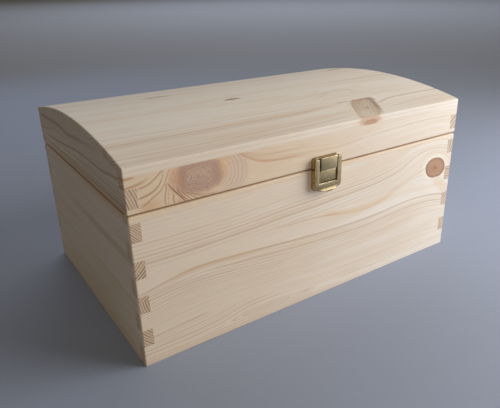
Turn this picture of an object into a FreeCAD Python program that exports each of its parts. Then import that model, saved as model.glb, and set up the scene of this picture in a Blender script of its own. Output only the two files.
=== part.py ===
import FreeCAD, Part
import math
import os
import re

import Sketcher

# Small pine keepsake chest: box-jointed body, domed lid glued up from staves,
# two brass butt hinges on the outside of the back and a brass snap latch in front.
# Frame: X along the front, Y from front to back, Z up; the origin is the middle of
# the underside. Everything is in millimetres.

SIZES = {
    # wooden box
    "chest_width": 400.0,
    "chest_depth": 260.0,
    "wall": 10.0,
    "body_height": 144.5,
    "lid_side_height": 39.0,
    "dome_rise": 15.0,
    "lid_top_thickness": 7.5,
    "front_stave_width": 42.5,
    "back_stave_width": 45.0,
    "full_stave_count": 3.0,
    "bottom_thickness": 5.0,
    "rebate_depth": 5.0,
    # box joints
    "finger_height": 16.5,
    "finger_pitch": 33.5,
    "finger_start": 20.75,
    "finger_count": 4.0,
    "lid_finger_start": 4.9,
    # clearances between pieces
    "glue_gap": 0.05,
    "seam_gap": 1.1,
    "running_gap": 0.05,
    "seat_gap": 0.02,
    "moving_gap": 0.3,
    "latch_gap": 0.1,
    # eased edges of the wood
    "rim_radius": 2.2,
    "corner_radius": 1.4,
    "base_radius": 1.0,
    "lid_edge_radius": 1.1,
    # hinges
    "hinge_width": 30.0,
    "hinge_inset": 75.0,
    "leaf_height": 13.5,
    "leaf_thickness": 1.2,
    "knuckle_radius": 2.4,
    "knuckle_count": 5.0,
    "hinge_pin_radius": 1.0,
    "hinge_screw_spacing": 18.0,
    "hinge_screw_height": 8.5,
    # screws
    "screw_radius": 1.1,
    "screw_head_radius": 2.2,
    "screw_tip": 2.0,
    "hinge_screw_length": 8.0,
    "latch_screw_length": 12.0,
    "recess_width": 0.55,
    "recess_span": 2.4,
    "recess_depth": 0.7,
    # latch
    "latch_width": 33.0,
    "latch_base": 4.5,
    "latch_corner_radius": 4.5,
    "latch_screw_offset": 13.4,
    "latch_pin_radius": 0.6,
    "latch_pin_inset": 0.5,
    "pivot_rise": 10.1,
    "flap_thickness": 2.1,
    "flap_drop": 20.9,
    "flap_bar": 5.15,
    "crossbar_height": 7.1,
    "lip_width": 24.0,
    "lip_drop": 2.5,
    "nose_width": 22.5,
    "nose_height": 3.2,
    "nose_reach": 1.5,
    "nose_edge": 0.9,
    "nose_lift": 0.5,
    "bracket_width": 20.4,
    "bracket_height": 10.9,
    "bracket_depth": 7.5,
    "bracket_drop": 0.8,
    "bracket_corner_radius": 3.5,
    "bracket_screw_rise": 4.3,
    "catch_width": 21.4,
    "catch_depth": 5.7,
    "catch_drop": 21.5,
    "catch_plate_drop": 1.5,
    "catch_screw_drop": 10.5,
    "hook_gap": 0.8,
}

# Places worked out from the sizes; each may use the ones above it.
PLACES = {
    "front": "-chest_depth / 2",
    "back": "chest_depth / 2",
    "side": "chest_width / 2",
    "lid_bottom": "body_height + seam_gap",
    "apex": "lid_bottom + lid_side_height + dome_rise",
    "dome_radius": "(chest_depth^2 / 4 + dome_rise^2) / (2 * dome_rise)",
    "full_stave": "(chest_depth - front_stave_width - back_stave_width) / full_stave_count",
    "hinge_y": "back + knuckle_radius + moving_gap",
    "hinge_z": "body_height + seam_gap / 2",
    "segment": "hinge_width / knuckle_count",
    "head_depth": "screw_head_radius - screw_radius",
    "pivot_y": "front - latch_base - moving_gap - flap_thickness / 2",
    "pivot_z": "body_height + pivot_rise",
    "flap_back": "front - latch_base - moving_gap",
    "flap_bottom": "body_height - flap_drop",
    "crossbar_top": "flap_bottom + crossbar_height",
    "lip_radius": "(lip_width^2 / 4 + lip_drop^2) / (2 * lip_drop)",
    "lip_bottom": "flap_bottom - lip_drop",
    "flap_front": "flap_back - flap_thickness",
    "nose_bottom": "lip_bottom + nose_lift",
    "nose_radius": "(nose_width^2 / 4 + nose_height^2) / (2 * nose_height)",
}

OVERRUN = "1"     # how far a tool or a stock block stands past the face it makes

doc = FreeCAD.newDocument("keepsake_chest")
sheet = doc.addObject("Spreadsheet::Sheet", "sizes")
for row_number, (alias, value) in enumerate(SIZES.items(), start=1):
    sheet.set(f"A{row_number}", alias)
    sheet.set(f"B{row_number}", str(value))
    sheet.setAlias(f"B{row_number}", alias)
doc.recompute()

pieces = []


def size(alias):
    """The number that the sheet holds under this alias."""
    return float(sheet.get(alias))


def formula(text):
    """Turn words such as 'back - wall' into an expression on the sheet's cells."""
    def replace(match):
        word = match.group()
        if word in PLACES:
            return "(" + formula(PLACES[word]) + ")"
        return "sizes." + word if word in SIZES else word
    return re.sub(r"[a-z_]+", replace, text)


def bind(thing, **texts):
    """Bind properties; a double underscore stands for the dot of a nested one."""
    for name, text in texts.items():
        thing.setExpression(name.replace("__", "."), formula(text))


def place(thing, x="0", y="0", z="0", rotation=None):
    if rotation is not None:
        thing.Placement = FreeCAD.Placement(FreeCAD.Vector(), rotation)
    bind(thing, Placement__Base__x=x, Placement__Base__y=y, Placement__Base__z=z)
    return thing


def turn(axis, degrees):
    return FreeCAD.Rotation(FreeCAD.Vector(*axis), degrees)


TOLERANCE = 1e-6
ALONG_X = turn((0, 1, 0), 90)
ALONG_BACK = turn((1, 0, 0), -90)     # local Z points to +Y
ALONG_FRONT = turn((1, 0, 0), 90)     # local Z points to -Y


# ---------------------------------------------------------------- primitives

def block(name, x, y, z):
    """A box between two formulas on each axis."""
    thing = doc.addObject("Part::Box", name)
    bind(thing, Length=f"({x[1]}) - ({x[0]})", Width=f"({y[1]}) - ({y[0]})",
         Height=f"({z[1]}) - ({z[0]})")
    return place(thing, x[0], y[0], z[0])


def rod(name, radius, length, start, rotation):
    thing = doc.addObject("Part::Cylinder", name)
    bind(thing, Radius=radius, Height=length)
    return place(thing, *start, rotation)


def cone(name, radius, end_radius, length, start, rotation):
    thing = doc.addObject("Part::Cone", name)
    bind(thing, Radius1=radius, Radius2=end_radius, Height=length)
    return place(thing, *start, rotation)


def joined(name, parts):
    thing = doc.addObject("Part::MultiFuse", name)
    thing.Shapes = parts
    thing.Refine = True
    return thing


def shared(name, base, tool):
    thing = doc.addObject("Part::Common", name)
    thing.Base = base
    thing.Tool = tool
    return thing


def cut(name, base, tools):
    """Base less the tools; every tool must reach into the base."""
    thing = doc.addObject("Part::Cut", name)
    thing.Base = base
    if len(tools) > 1:
        group = doc.addObject("Part::Compound", name + "_tools")
        group.Links = tools
        thing.Tool = group
    else:
        thing.Tool = tools[0]
    return thing


def eased(name, base, radius_of):
    """Fillet each edge of the base for which radius_of gives a radius."""
    doc.recompute()
    whole = base.Shape.BoundBox
    edges = []
    for number, edge in enumerate(base.Shape.Edges, start=1):
        radius = radius_of(edge, whole)
        if radius:
            edges.append((number, radius, radius))
    thing = doc.addObject("Part::Fillet", name)
    thing.Base = base
    thing.Edges = edges
    return thing


def piece(label, thing):
    """Give a finished sub-part its own label and put it on the list to export."""
    thing.Label = label
    pieces.append(thing)
    return thing


# ------------------------------------------------------- sketches and bodies

def origin_plane(body, role):
    return next(feature for feature in body.Origin.OriginFeatures if feature.Role == role)


def outline(body, name, role, points):
    """A closed sketch of straight lines whose corners are pairs of formulas."""
    sketch = body.newObject("Sketcher::SketchObject", name)
    sketch.AttachmentSupport = (origin_plane(body, role), [""])
    sketch.MapMode = "FlatFace"
    total = len(points)
    # Any loose ring of corners will do: the constraints then move each one home.
    loose = [FreeCAD.Vector(math.cos(math.tau * k / total), math.sin(math.tau * k / total), 0)
             for k in range(total)]
    for k in range(total):
        sketch.addGeometry(Part.LineSegment(loose[k], loose[(k + 1) % total]), False)
    for k in range(total):
        sketch.addConstraint(Sketcher.Constraint("Coincident", k, 2, (k + 1) % total, 1))
    for k, corner in enumerate(points):
        for kind, text, axis in (("DistanceX", corner[0], -2), ("DistanceY", corner[1], -1)):
            if text == "0":
                sketch.addConstraint(Sketcher.Constraint("PointOnObject", k, 1, axis))
            else:
                number = sketch.addConstraint(Sketcher.Constraint(kind, -1, 1, k, 1, 1.0))
                sketch.setExpression(f"Constraints[{number}]", formula(text))
    return sketch


def rectangle(body, name, role, across, up):
    corners = [(across[0], up[0]), (across[1], up[0]), (across[1], up[1]), (across[0], up[1])]
    return outline(body, name, role, corners)


def pad(body, name, sketch, length):
    feature = body.newObject("PartDesign::Pad", name)
    feature.Profile = sketch
    bind(feature, Length=length)
    return feature


def pocket_through(body, name, sketch):
    feature = body.newObject("PartDesign::Pocket", name)
    feature.Profile = sketch
    feature.Type = "ThroughAll"
    feature.Reversed = True      # the pad grew along the sketch's normal, and so does the cut
    return feature


def row_upwards(body, name, originals, count, pitch):
    """Repeat features up the board."""
    feature = body.newObject("PartDesign::LinearPattern", name)
    feature.Originals = originals
    feature.Direction = (origin_plane(body, "Z_Axis"), [""])
    feature.Mode = "Spacing"
    bind(feature, Offset=pitch, Occurrences=count)
    body.Tip = feature
    return feature


# -------------------------------------------------------------------- boards

def long_board(name, height, first_finger, count):
    """Front or back board of the full width, with a socket for each end-board finger.

    It stands on local Z = 0 and takes up local Y from -wall to 0.
    """
    body = doc.addObject("PartDesign::Body", name)
    face = rectangle(body, name + "_face", "XZ_Plane", ("-side", "side"), ("0", height))
    pad(body, name + "_plank", face, "wall")
    up = (f"{first_finger} - glue_gap", f"{first_finger} + finger_height + glue_gap")
    outside = f"side + {OVERRUN}"
    inside = "side - wall - glue_gap"
    sockets = []
    for hand, across in (("left", (f"-({outside})", f"-({inside})")), ("right", (inside, outside))):
        sketch = rectangle(body, f"{name}_{hand}_socket", "XZ_Plane", across, up)
        sockets.append(pocket_through(body, f"{name}_{hand}_cut", sketch))
    if count:
        row_upwards(body, name + "_row", sockets, count, "finger_pitch")
    return body


def end_board(name, height, first_finger, count):
    """End board between the long ones, with fingers that reach their outer faces.

    It stands on local Z = 0 and takes up local X from 0 to wall.
    """
    body = doc.addObject("PartDesign::Body", name)
    core = "back - wall - glue_gap"
    face = rectangle(body, name + "_face", "YZ_Plane", (f"-({core})", core), ("0", height))
    pad(body, name + "_plank", face, "wall")
    up = (first_finger, f"{first_finger} + finger_height")
    finger = rectangle(body, name + "_finger", "YZ_Plane", ("front", "back"), up)
    fingers = pad(body, name + "_fingers", finger, "wall")
    if count:
        row_upwards(body, name + "_row", [fingers], count, "finger_pitch")
    return body


def body_easing(edge, whole):
    """The body's corners, its rim and its foot each have their own radius."""
    if edge.BoundBox.ZLength > TOLERANCE:
        return size("corner_radius")
    return size("base_radius") if edge.BoundBox.ZMin < whole.ZMin + TOLERANCE else size("rim_radius")


def lid_easing(edge, whole):
    return size("lid_edge_radius")


def low_corners(edge, whole):
    """Only the two bottom corners that show from the front."""
    runs_back = edge.BoundBox.YLength > edge.Length - TOLERANCE
    is_low = edge.BoundBox.ZMin < whole.ZMin + TOLERANCE
    return size("latch_corner_radius") if runs_back and is_low else None


def high_corners(edge, whole):
    """Only the two top corners that show from the front."""
    runs_back = edge.BoundBox.YLength > edge.Length - TOLERANCE
    is_high = edge.BoundBox.ZMax > whole.ZMax - TOLERANCE
    return size("bracket_corner_radius") if runs_back and is_high else None


def dome(name, radius):
    """Solid cylinder along X about the centre of the dome's arc."""
    return rod(name, radius, f"chest_width + 2 * {OVERRUN}",
               (f"-side - {OVERRUN}", "0", "apex - dome_radius"), ALONG_X)


# The assembled box is sanded as one, so its boards share one eased outer form.
body_block = block("body_block", ("-side", "side"), ("front", "back"), ("0", "body_height"))
body_form = eased("body_form", body_block, body_easing)
lid_block = block("lid_block", ("-side", "side"), ("front", "back"), ("lid_bottom", f"apex + {OVERRUN}"))
lid_blank = shared("lid_blank", lid_block, dome("dome_outside", "dome_radius"))
lid_form = eased("lid_form", lid_blank, lid_easing)
dome_inside = dome("dome_inside", "dome_radius - lid_top_thickness")
frame_form = shared("frame_form", lid_form,
                    dome("frame_top", "dome_radius - lid_top_thickness - glue_gap"))

rebate = block("rebate",
               ("-side + wall - rebate_depth - glue_gap", "side - wall + rebate_depth + glue_gap"),
               ("front + wall - rebate_depth - glue_gap", "back - wall + rebate_depth + glue_gap"),
               (f"-{OVERRUN}", "bottom_thickness + glue_gap"))


# -------------------------------------------------------------------- screws

def screw(name, length):
    """Countersunk cross-recessed screw, head face at local Z = 0 and point downwards."""
    body = doc.addObject("PartDesign::Body", name)
    profile = outline(body, name + "_profile", "XZ_Plane", [
        ("0", "0"),
        ("screw_head_radius", "0"),
        ("screw_radius", "-head_depth"),
        ("screw_radius", f"screw_tip - {length}"),
        ("0", f"-{length}"),
    ])
    turned = body.newObject("PartDesign::Revolution", name + "_turned")
    turned.Profile = profile
    turned.ReferenceAxis = (profile, ["V_Axis"])
    turned.Angle = 360.0
    narrow = "recess_width / 2"
    wide = "recess_span / 2"
    cross = outline(body, name + "_cross", "XY_Plane", [
        (narrow, narrow), (narrow, wide), (f"-{narrow}", wide), (f"-{narrow}", narrow),
        (f"-{wide}", narrow), (f"-{wide}", f"-{narrow}"), (f"-{narrow}", f"-{narrow}"),
        (f"-{narrow}", f"-{wide}"), (narrow, f"-{wide}"), (narrow, f"-{narrow}"),
        (wide, f"-{narrow}"), (wide, narrow),
    ])
    recess = body.newObject("PartDesign::Pocket", name + "_recess")
    recess.Profile = cross
    bind(recess, Length="recess_depth")
    return body


def copies(label, master, places, rotation):
    """One sub-part made of equal screws, one at each place."""
    links = []
    for number, spot in enumerate(places, start=1):
        link = doc.addObject("App::Link", f"{label}_{number}")
        link.LinkedObject = master
        links.append(place(link, *spot, rotation))
    group = doc.addObject("Part::Compound", label)
    group.Links = links
    return piece(label, group)


def screw_holes(name, places, length, into_wood, rotation):
    """Hole for each screw: its shank's pilot and, in metal, the countersink for its head."""
    tools = []
    for number, spot in enumerate(places, start=1):
        shank = rod(f"{name}_pilot_{number}", "screw_radius + running_gap", length, spot, rotation)
        if into_wood:
            tools.append(shank)
            continue
        sink = cone(f"{name}_sink_{number}", "screw_head_radius + running_gap",
                    "screw_radius + running_gap", "head_depth", spot, rotation)
        tools.append(joined(f"{name}_hole_{number}", [shank, sink]))
    return tools


hinge_screw = screw("hinge_screw", "hinge_screw_length")
latch_screw = screw("latch_screw", "latch_screw_length")

hinge_centres = [("left", "-(side - hinge_inset)"), ("right", "side - hinge_inset")]


def hinge_screw_places(side_of_pin):
    """Head centres on the leaves' outer faces; side_of_pin is '-' for body, '+' for lid."""
    places = []
    for hand, centre in hinge_centres:
        for half in ("-hinge_screw_spacing / 2", "+hinge_screw_spacing / 2"):
            places.append((f"{centre} {half}", "back + leaf_thickness",
                           f"hinge_z {side_of_pin} hinge_screw_height"))
    return places


def latch_screw_places(height):
    return [(offset, "front - latch_base", height)
            for offset in ("-latch_screw_offset", "latch_screw_offset")]


body_leaf_screws = hinge_screw_places("-")
lid_leaf_screws = hinge_screw_places("+")
catch_screws = latch_screw_places("body_height - catch_screw_drop")
bracket_screws = latch_screw_places("lid_bottom + bracket_screw_rise")

# ---------------------------------------------------------------- body boards

front_blank = place(long_board("front_blank", "body_height", "finger_start", "finger_count"),
                    y="front + wall")
back_blank = place(long_board("back_blank", "body_height", "finger_start", "finger_count"), y="back")
left_blank = place(end_board("left_blank", "body_height", "finger_start", "finger_count"), x="-side")
right_blank = place(end_board("right_blank", "body_height", "finger_start", "finger_count"),
                    x="side - wall")

catch_pilots = screw_holes("catch_pilots", catch_screws, "latch_screw_length", True, ALONG_BACK)
body_hinge_pilots = screw_holes("body_hinge_pilots", body_leaf_screws, "hinge_screw_length", True,
                                ALONG_FRONT)
for label, blank, holes in (
    ("body_front", front_blank, catch_pilots),
    ("body_back", back_blank, body_hinge_pilots),
    ("body_left_end", left_blank, []),
    ("body_right_end", right_blank, []),
):
    sanded = shared(label + "_sanded", blank, body_form)
    piece(label, cut(label, sanded, [rebate] + holes))

piece("body_bottom", block("body_bottom",
                           ("-side + wall - rebate_depth", "side - wall + rebate_depth"),
                           ("front + wall - rebate_depth", "back - wall + rebate_depth"),
                           ("0", "bottom_thickness")))

# ----------------------------------------------------------------- lid boards

rail_height = "apex - lid_bottom"
lid_front_blank = place(long_board("lid_front_blank", rail_height, "lid_finger_start", None),
                        y="front + wall", z="lid_bottom")
lid_back_blank = place(long_board("lid_back_blank", rail_height, "lid_finger_start", None),
                       y="back", z="lid_bottom")
lid_left_blank = place(end_board("lid_left_blank", rail_height, "lid_finger_start", None),
                       x="-side", z="lid_bottom")
lid_right_blank = place(end_board("lid_right_blank", rail_height, "lid_finger_start", None),
                        x="side - wall", z="lid_bottom")

bracket_pilots = screw_holes("bracket_pilots", bracket_screws, "latch_screw_length", True, ALONG_BACK)
lid_hinge_pilots = screw_holes("lid_hinge_pilots", lid_leaf_screws, "hinge_screw_length", True,
                               ALONG_FRONT)
for label, blank, holes in (
    ("lid_front_rail", lid_front_blank, bracket_pilots),
    ("lid_back_rail", lid_back_blank, lid_hinge_pilots),
):
    sanded = shared(label + "_sanded", blank, frame_form)
    piece(label, cut(label, sanded, holes))
for label, blank in (("lid_left_end", lid_left_blank), ("lid_right_end", lid_right_blank)):
    piece(label, shared(label, blank, frame_form))


def stave_edges():
    """Formulas for the staves' edges, from front to back.

    The outer two were trimmed to width; the full ones share what lies between them.
    """
    inner = [f"front + front_stave_width + {k} * full_stave"
             for k in range(int(size("full_stave_count")) + 1)]
    return ["front"] + inner + ["back"]


edges = stave_edges()
for number, (near, far) in enumerate(zip(edges, edges[1:]), start=1):
    strip = block(f"strip_{number}", (f"-side - {OVERRUN}", f"side + {OVERRUN}"), (near, far),
                  ("lid_bottom", f"apex + {OVERRUN}"))
    label = f"lid_stave_{number}"
    piece(label, cut(label, shared(label + "_outside", lid_form, strip), [dome_inside]))

# --------------------------------------------------------------------- hinges


def knuckle_span(centre, k, margin):
    """Ends of knuckle k along X, drawn in by the margin at each end."""
    start = f"{centre} - hinge_width / 2 + {k} * segment"
    return f"{start} + {margin}", f"{start} + segment - {margin}"


def hinge_leaf(label, centre, upper, own, others, bore_gap, screw_places):
    """One leaf: a flat plate on the wood with its share of the knuckles."""
    plate_z = ("hinge_z", "hinge_z + leaf_height") if upper else ("hinge_z - leaf_height", "hinge_z")
    plate = block(label + "_plate", (f"{centre} - hinge_width / 2", f"{centre} + hinge_width / 2"),
                  ("back", "back + leaf_thickness"), plate_z)
    clear = "knuckle_radius + moving_gap"
    notch_z = (f"hinge_z - {OVERRUN}", f"hinge_z + {clear}") if upper else (
        f"hinge_z - ({clear})", f"hinge_z + {OVERRUN}")
    notches = [block(f"{label}_notch_{k}", knuckle_span(centre, k, "(-moving_gap / 2)"),
                     (f"back - {OVERRUN}", f"back + leaf_thickness + {OVERRUN}"), notch_z)
               for k in others]
    barrels = []
    for k in own:
        low, high = knuckle_span(centre, k, "moving_gap / 2")
        barrels.append(rod(f"{label}_knuckle_{k}", "knuckle_radius", "segment - moving_gap",
                           (low, "hinge_y", "hinge_z"), ALONG_X))
    solid = joined(label + "_solid", [cut(label + "_notched", plate, notches)] + barrels)
    bore = rod(label + "_bore", f"hinge_pin_radius + {bore_gap}", f"hinge_width + 2 * {OVERRUN}",
               (f"{centre} - hinge_width / 2 - {OVERRUN}", "hinge_y", "hinge_z"), ALONG_X)
    holes = screw_holes(label, screw_places, f"leaf_thickness + {OVERRUN}", False, ALONG_FRONT)
    return piece(label, cut(label, solid, [bore] + holes))


all_knuckles = range(int(size("knuckle_count")))
body_knuckles = [k for k in all_knuckles if k % 2 == 0]
lid_knuckles = [k for k in all_knuckles if k % 2 == 1]
for index, (hand, centre) in enumerate(hinge_centres):
    pair = slice(2 * index, 2 * index + 2)
    hinge_leaf(f"hinge_body_leaf_{hand}", centre, False, body_knuckles, lid_knuckles,
               "seat_gap", body_leaf_screws[pair])
    hinge_leaf(f"hinge_lid_leaf_{hand}", centre, True, lid_knuckles, body_knuckles,
               "running_gap", lid_leaf_screws[pair])
    piece(f"hinge_pin_{hand}", rod(f"hinge_pin_{hand}", "hinge_pin_radius", "hinge_width",
                                   (f"{centre} - hinge_width / 2", "hinge_y", "hinge_z"), ALONG_X))
copies("hinge_body_screws", hinge_screw, body_leaf_screws, ALONG_BACK)
copies("hinge_lid_screws", hinge_screw, lid_leaf_screws, ALONG_BACK)

# ---------------------------------------------------------------------- latch

latch_x = ("-latch_width / 2", "latch_width / 2")

# Catch: the body's half, a base block with the raised plate that the flap hooks under.
catch_base = block("catch_base", latch_x, ("front - latch_base", "front"),
                   ("body_height - catch_drop", "body_height - latch_gap"))
catch_rounded = eased("catch_rounded", catch_base, low_corners)
catch_plate = block("catch_plate", ("-catch_width / 2", "catch_width / 2"),
                    ("front - catch_depth", f"front - latch_base + {OVERRUN}"),
                    ("crossbar_top + hook_gap", "body_height - catch_plate_drop"))
catch_holes = screw_holes("catch_hole", catch_screws, f"latch_base + {OVERRUN}", False, ALONG_BACK)
catch_solid = joined("catch_solid", [catch_rounded, catch_plate])
piece("latch_catch", cut("latch_catch", catch_solid, catch_holes))

# Bracket: the lid's half, which carries the flap's pin and reaches a little over the seam.
bracket_top = "lid_bottom + bracket_height"
bracket_x = ("-bracket_width / 2", "bracket_width / 2")
bracket_base = block("bracket_base", latch_x, ("front - latch_base", "front"),
                     ("lid_bottom + latch_gap", bracket_top))
bracket_rounded = eased("bracket_rounded", bracket_base, high_corners)
bracket_block = block("bracket_block", bracket_x,
                      ("front - bracket_depth", f"front - latch_base + {OVERRUN}"),
                      ("lid_bottom + latch_gap", bracket_top))
bracket_tongue = block("bracket_tongue", bracket_x, ("front - bracket_depth", "flap_back"),
                       ("body_height - bracket_drop", f"lid_bottom + latch_gap + {OVERRUN}"))
bracket_solid = joined("bracket_solid", [bracket_rounded, bracket_block, bracket_tongue])
bracket_bore = rod("bracket_bore", "latch_pin_radius + seat_gap", f"bracket_width + 2 * {OVERRUN}",
                   (f"-bracket_width / 2 - {OVERRUN}", "pivot_y", "pivot_z"), ALONG_X)
bracket_holes = screw_holes("bracket_hole", bracket_screws, f"latch_base + {OVERRUN}", False,
                            ALONG_BACK)
piece("latch_bracket", cut("latch_bracket", bracket_solid, [bracket_bore] + bracket_holes))

# Flap: a frame open at the top, turning on the pin. A bowed lip and a nose with a sloping
# upper face stand out under its crossbar for a finger.
flap_y = ("flap_front", "flap_back")
flap_blank = block("flap_blank", latch_x, flap_y, ("flap_bottom", "pivot_z"))
flap_rounded = eased("flap_rounded", flap_blank, low_corners)
window_half = "latch_width / 2 - flap_bar"
flap_window = block("flap_window", (f"-({window_half})", window_half),
                    (f"flap_front - {OVERRUN}", f"flap_back + {OVERRUN}"),
                    ("crossbar_top", f"pivot_z + {OVERRUN}"))
flap_frame = cut("flap_frame", flap_rounded, [flap_window])
lip_disc = rod("lip_disc", "lip_radius", "flap_thickness",
               ("0", "flap_front", "lip_bottom + lip_radius"), ALONG_BACK)
lip_field = block("lip_field", ("-lip_width / 2", "lip_width / 2"), flap_y,
                  (f"lip_bottom - {OVERRUN}", f"flap_bottom + {OVERRUN}"))
lip = shared("lip", lip_disc, lip_field)
nose_wedge = doc.addObject("PartDesign::Body", "nose_wedge")
nose_side = outline(nose_wedge, "nose_side", "YZ_Plane", [
    ("flap_back", "nose_bottom"),
    ("flap_front - nose_reach", "nose_bottom"),
    ("flap_front - nose_reach", "nose_bottom + nose_edge"),
    ("flap_front", "nose_bottom + nose_height"),
    ("flap_back", "nose_bottom + nose_height"),
])
pad(nose_wedge, "nose_length", nose_side, "nose_width")
place(nose_wedge, x="-nose_width / 2")
nose_disc = rod("nose_disc", "nose_radius", "flap_thickness + nose_reach",
                ("0", "flap_front - nose_reach", "nose_bottom + nose_radius"), ALONG_BACK)
nose = shared("nose", nose_wedge, nose_disc)
bosses = [rod(f"boss_{hand}", "flap_thickness / 2", "flap_bar", (start, "pivot_y", "pivot_z"), ALONG_X)
          for hand, start in (("left", "-latch_width / 2"), ("right", window_half))]
flap_solid = joined("flap_solid", [flap_frame, lip, nose] + bosses)
flap_bore = rod("flap_bore", "latch_pin_radius + running_gap", f"latch_width + 2 * {OVERRUN}",
                (f"-latch_width / 2 - {OVERRUN}", "pivot_y", "pivot_z"), ALONG_X)
piece("latch_flap", cut("latch_flap", flap_solid, [flap_bore]))
piece("latch_pin", rod("latch_pin", "latch_pin_radius", "latch_width - 2 * latch_pin_inset",
                       ("-latch_width / 2 + latch_pin_inset", "pivot_y", "pivot_z"), ALONG_X))
copies("latch_catch_screws", latch_screw, catch_screws, ALONG_FRONT)
copies("latch_bracket_screws", latch_screw, bracket_screws, ALONG_FRONT)

# --------------------------------------------------------------------- export

doc.recompute()
for thing in doc.Objects:
    if "Invalid" in thing.State or "Error" in thing.State:
        raise RuntimeError(f"{thing.Name} failed: {thing.State}")
os.makedirs("parts", exist_ok=True)
for thing in pieces:
    shape = thing.Shape
    if shape.isNull() or not shape.isValid() or not shape.Solids:
        raise RuntimeError(f"{thing.Label} has no valid solid")
for thing in pieces:
    shape = thing.Shape
    shape.exportStep(f"parts/{thing.Label}.step")
    box = shape.BoundBox
    print(f"{thing.Label:24s} {len(shape.Solids)} solid(s) {shape.Volume:12.1f} mm3"
          f"  x {box.XMin:7.1f} {box.XMax:7.1f}  y {box.YMin:7.1f} {box.YMax:7.1f}"
          f"  z {box.ZMin:7.1f} {box.ZMax:7.1f}")
print(len(pieces), "sub-parts")
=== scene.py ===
import functools
import math

import bpy
from bpy.props import FloatProperty, FloatVectorProperty, PointerProperty
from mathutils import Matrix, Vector


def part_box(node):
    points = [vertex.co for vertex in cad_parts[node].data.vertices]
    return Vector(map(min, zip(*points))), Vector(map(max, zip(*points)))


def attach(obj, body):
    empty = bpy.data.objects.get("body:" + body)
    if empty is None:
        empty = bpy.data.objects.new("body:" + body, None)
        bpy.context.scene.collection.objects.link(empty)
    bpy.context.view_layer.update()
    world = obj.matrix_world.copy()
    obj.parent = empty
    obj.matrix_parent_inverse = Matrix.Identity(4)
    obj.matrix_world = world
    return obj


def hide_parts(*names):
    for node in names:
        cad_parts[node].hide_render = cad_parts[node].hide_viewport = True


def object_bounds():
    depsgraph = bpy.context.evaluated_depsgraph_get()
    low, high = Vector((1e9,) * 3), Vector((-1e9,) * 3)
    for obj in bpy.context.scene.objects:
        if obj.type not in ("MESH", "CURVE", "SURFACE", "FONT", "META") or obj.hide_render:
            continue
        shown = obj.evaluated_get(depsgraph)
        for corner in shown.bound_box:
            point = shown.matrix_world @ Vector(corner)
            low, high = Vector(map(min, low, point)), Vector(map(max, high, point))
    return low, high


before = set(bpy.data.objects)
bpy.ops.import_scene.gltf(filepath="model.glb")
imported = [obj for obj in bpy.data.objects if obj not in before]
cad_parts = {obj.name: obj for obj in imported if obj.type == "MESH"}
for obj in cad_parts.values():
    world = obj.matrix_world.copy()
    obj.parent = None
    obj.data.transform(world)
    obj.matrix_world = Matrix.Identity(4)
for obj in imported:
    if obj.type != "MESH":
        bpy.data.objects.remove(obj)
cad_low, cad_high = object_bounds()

bl_info = {
    "name": "Pine Keepsake Chest",
    "version": (1, 0, 0),
    "blender": (4, 5, 0),
    "location": "View3D > Sidebar > Chest",
    "description": "Finishes a small domed pine chest with a brass latch and hinges",
    "category": "Object",
}

MM = 0.001


# ------------------------------------------------------------------- colours

def colour(code):
    """Linear RGBA of an sRGB hex code such as '#c8b7a7'."""
    parts = [int(code[k:k + 2], 16) / 255 for k in (1, 3, 5)]
    linear = [c / 12.92 if c <= 0.04045 else ((c + 0.055) / 1.055) ** 2.4 for c in parts]
    return (*linear, 1.0)


def colour_property(name, description, code):
    return FloatVectorProperty(name=name, description=description, subtype="COLOR", size=4,
                               min=0.0, max=1.0, default=colour(code))


def length_property(name, description, millimetres):
    return FloatProperty(name=name, description=description, unit="LENGTH", precision=5,
                         default=millimetres * MM)


def power_property(name, description, watts):
    return FloatProperty(name=name, description=description, unit="POWER", default=watts)


def share_property(name, description, share):
    return FloatProperty(name=name, description=description, subtype="FACTOR", min=0.0, max=1.0,
                         default=share)


# --------------------------------------------------------------------- nodes

SIGNS = {
    "+": "ADD", "-": "SUBTRACT", "*": "MULTIPLY", "/": "DIVIDE", "^": "POWER",
    ">": "GREATER_THAN", "<": "LESS_THAN", "abs": "ABSOLUTE", "floor": "FLOOR",
    "fract": "FRACT", "exp": "EXPONENT", "sqrt": "SQRT", "max": "MAXIMUM",
}


def add(tree, kind, *links, **settings):
    """Add a node and return its first output.

    Links fill the inputs in order, None leaves one as it is, and a dictionary names them.
    A sign such as '*' stands for a Math node.
    """
    if kind in SIGNS:
        kind, settings = "Math", {"operation": SIGNS[kind], **settings}
    node = tree.nodes.new("ShaderNode" + kind)
    for name, value in settings.items():
        setattr(node, name, value)
    pairs = list(zip(node.inputs, links))
    if links and isinstance(links[0], dict):
        pairs = [(node.inputs[name], value) for name, value in links[0].items()]
    for socket, value in pairs:
        if isinstance(value, bpy.types.NodeSocket):
            tree.links.new(value, socket)
        elif value is not None:
            socket.default_value = value
    return node.outputs[0] if node.outputs else node


def new_material(name):
    """An empty material and its node adder."""
    material = bpy.data.materials.new(name)
    material.use_nodes = True
    material.node_tree.nodes.clear()
    return material, functools.partial(add, material.node_tree)


def ramp(n, factor, stops, interpolation="LINEAR"):
    """Colour ramp from (position, value) pairs; a plain number stands for a grey."""
    output = n("ValToRGB", factor)
    band = output.node.color_ramp
    band.interpolation = interpolation
    while len(band.elements) < len(stops):
        band.elements.new(1.0)
    for element, (position, value) in zip(band.elements, stops):
        element.position = position
        element.color = value if isinstance(value, tuple) else (value, value, value, 1.0)
    return output


# ---------------------------------------------------------------------- pine
#
# A board is described in its own millimetres: u along the grain, v across the board and
# w in from its outer face. Each stave of a glued-up board has its own pith, and its growth
# rings are circles about that pith, so faces, edges and end grain all agree.

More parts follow.
